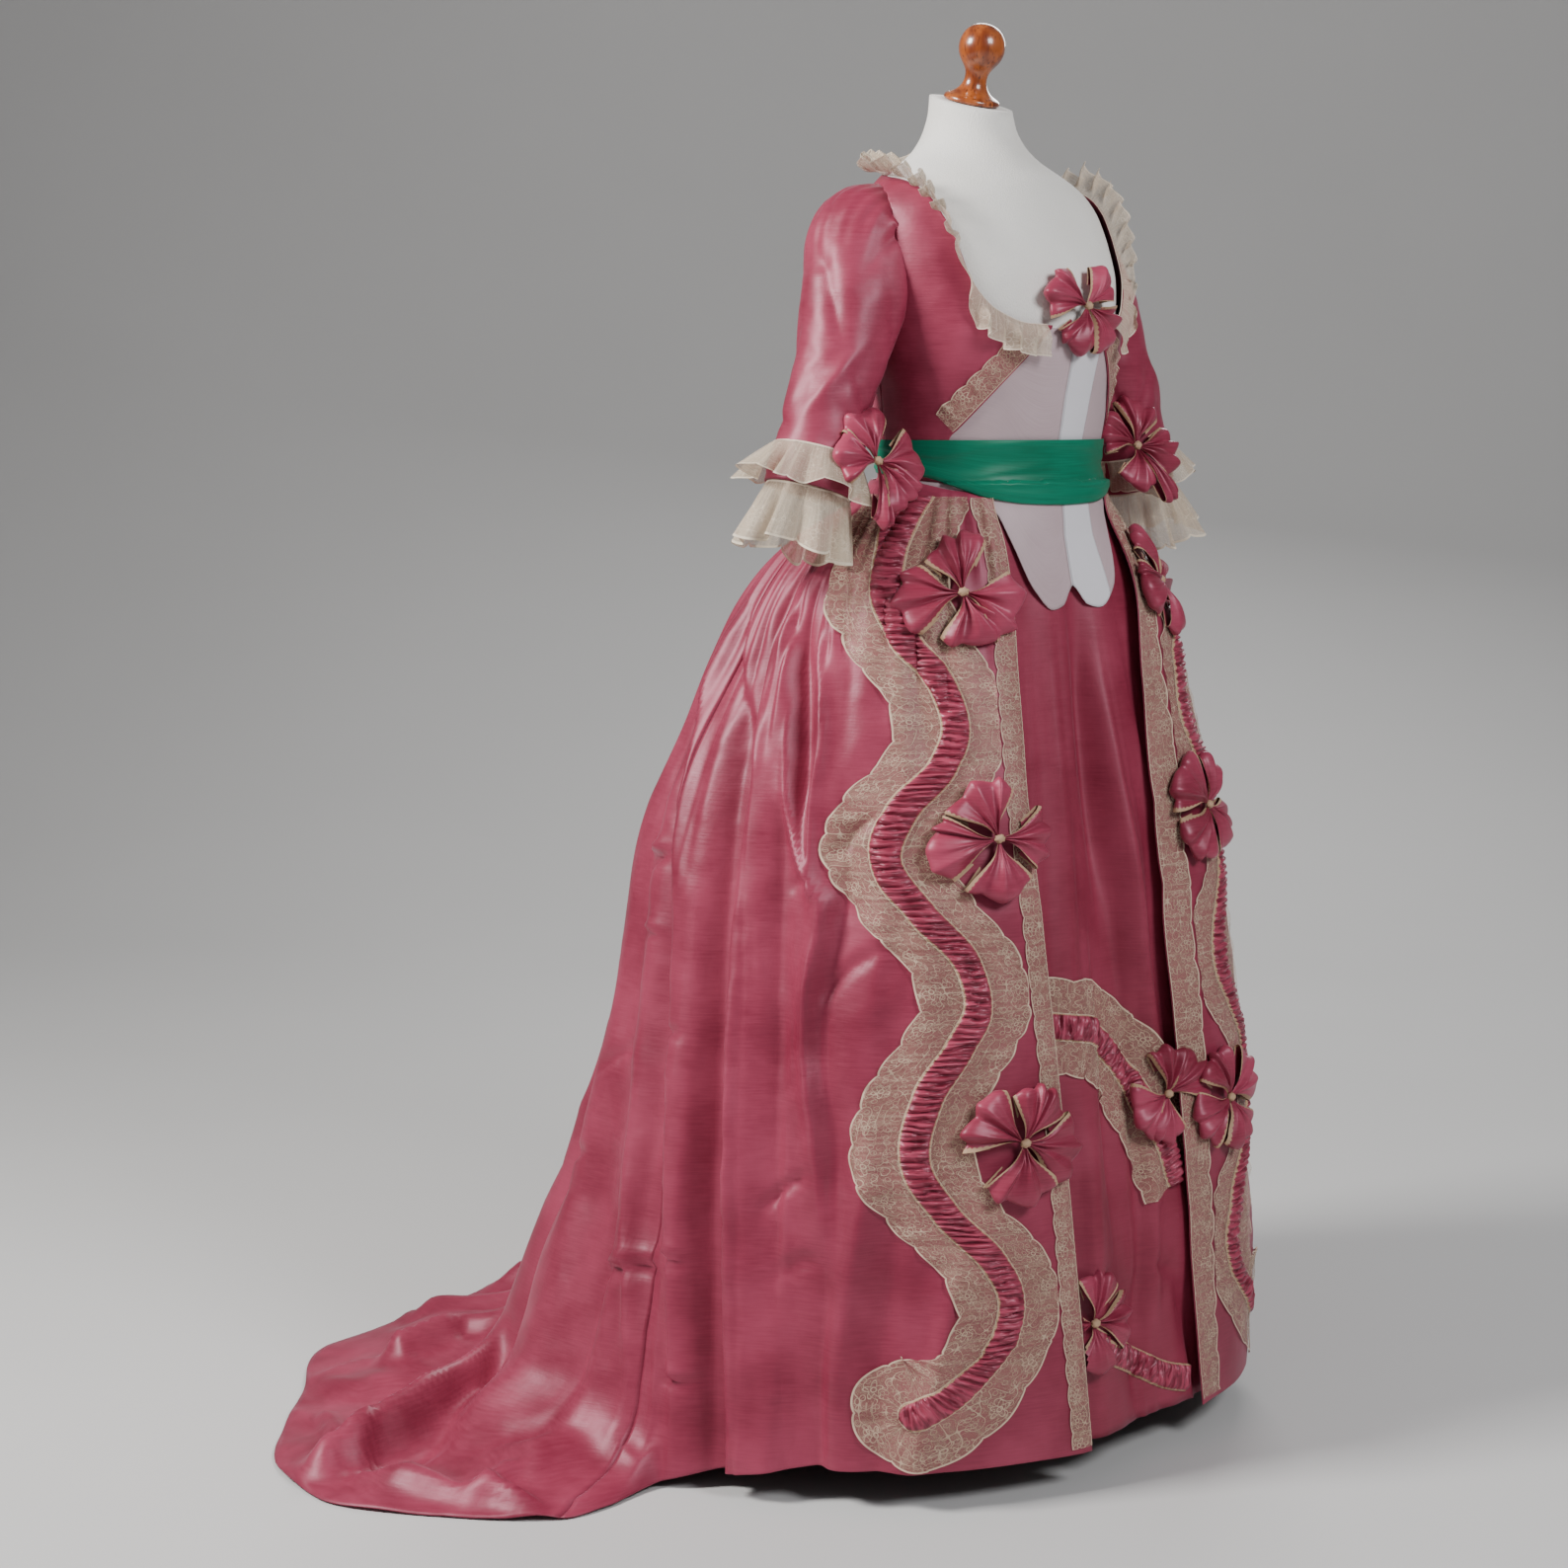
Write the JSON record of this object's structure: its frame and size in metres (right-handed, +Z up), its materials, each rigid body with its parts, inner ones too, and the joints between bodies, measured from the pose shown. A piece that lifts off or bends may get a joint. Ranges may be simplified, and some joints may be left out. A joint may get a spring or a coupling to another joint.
{
  "type": "robe a l'anglaise on a dress form",
  "caption": "Eighteenth-century style open gown with a fitted bodice, elbow sleeves with lace cuffs, trimmed skirt and train over a petticoat, worn by a limbless dress form on a hidden stand.",
  "frame": {"origin": "middle of the stand disc's underside, on the floor", "axes": "+Z up through the pole and neck, -Y towards the front of the gown, +X towards the wearer's left"},
  "size_m": [1.1742, 0.9995, 1.582],
  "materials": {
    "taffeta": "rose silk taffeta, soft sheen",
    "lining_silk": "crimson silk lining, matt",
    "lace": "cream net lace",
    "waistcoat_silk": "pale silk, soft sheen",
    "green_satin": "green satin",
    "jersey": "white jersey cover, matt",
    "turned_wood": "turned and varnished wood",
    "stand_paint": "dark satin paint"
  },
  "bodies": {
    "root": {"form_torso": "jersey", "neck_knob": "turned_wood", "stand_pole": "stand_paint", "stand_disc": "stand_paint", "bodice_front_right": "taffeta", "bodice_front_left": "taffeta", "bodice_back": "taffeta", "waistcoat_front_right": "waistcoat_silk", "waistcoat_front_left": "waistcoat_silk", "bodice_lace_right": "lace", "bodice_lace_left": "lace", "gown_skirt_right": "taffeta", "gown_skirt_back": "taffeta", "gown_skirt_left": "taffeta", "petticoat_front": "taffeta", "petticoat_back": "taffeta", "ruched_band_right": "taffeta", "lace_outer_right": "lace", "lace_inner_right": "lace", "edge_lace_right": "lace", "ruched_band_left": "taffeta", "lace_outer_left": "lace", "lace_inner_left": "lace", "edge_lace_left": "lace", "petticoat_ruched_upper": "taffeta", "petticoat_ruched_lower": "taffeta", "petticoat_lace_above": "lace", "petticoat_lace_below": "lace", "bow_gown_right_1": "taffeta", "bow_gown_right_2": "taffeta", "bow_gown_right_3": "taffeta", "bow_gown_left_1": "taffeta", "bow_gown_left_2": "taffeta", "bow_gown_left_3": "taffeta", "bow_petticoat_upper": "taffeta", "bow_petticoat_lower": "taffeta", "bow_chest": "taffeta", "sleeve_right": "taffeta", "sleeve_lining_right": "lining_silk", "cuff_lace_upper_right": "lace", "cuff_lace_lower_right": "lace", "bow_sleeve_right": "taffeta", "sleeve_left": "taffeta", "sleeve_lining_left": "lining_silk", "cuff_lace_upper_left": "lace", "cuff_lace_lower_left": "lace", "bow_sleeve_left": "taffeta", "sash": "green_satin", "sash_tail_right": "green_satin", "sash_tail_left": "green_satin", "sash_knot": "green_satin", "neck_lace_right": "lace", "neck_lace_back": "lace", "neck_lace_left": "lace"}
  },
  "joints": []
}
